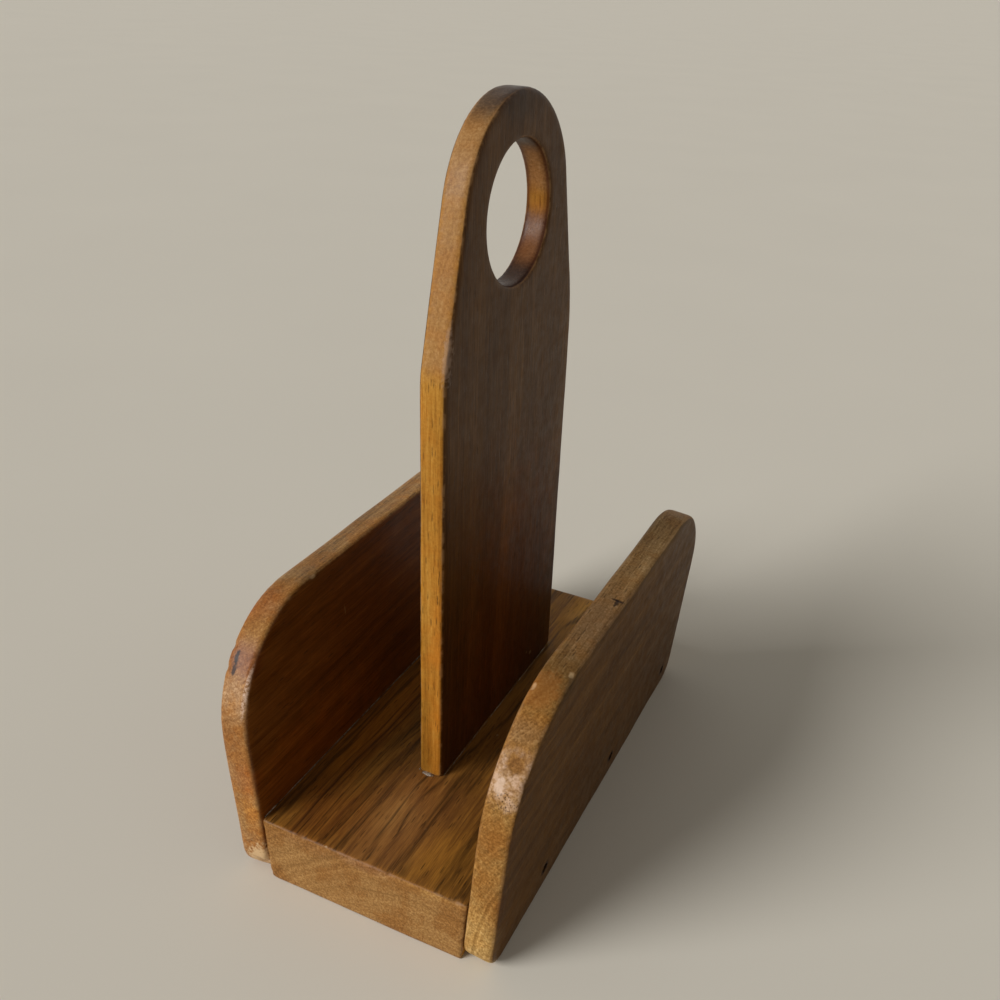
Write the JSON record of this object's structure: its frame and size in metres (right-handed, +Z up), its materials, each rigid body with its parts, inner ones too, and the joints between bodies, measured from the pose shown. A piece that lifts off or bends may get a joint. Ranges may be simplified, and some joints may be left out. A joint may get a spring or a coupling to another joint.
{
  "type": "napkin holder",
  "caption": "Oiled hardwood napkin holder: a thick base, two leaning sides nailed to its edges, and a tall middle board with a round finger hole",
  "frame": {"origin": "on the table, under the middle of the base board", "axes": "+X to the right across the sides, +Y from the front end of the base to its back end, +Z up"},
  "size_m": [0.0966, 0.158, 0.22],
  "materials": {
    "base_wood": "satin",
    "side_wood": "satin",
    "handle_wood": "satin",
    "nail_steel": "satin",
    "screw_steel": "satin"
  },
  "bodies": {
    "root": {"base_board": "base_wood", "left_side": "side_wood", "right_side": "side_wood", "handle_panel": "handle_wood", "left_side_nails": "nail_steel", "right_side_nails": "nail_steel", "handle_screws": "screw_steel"}
  },
  "joints": []
}
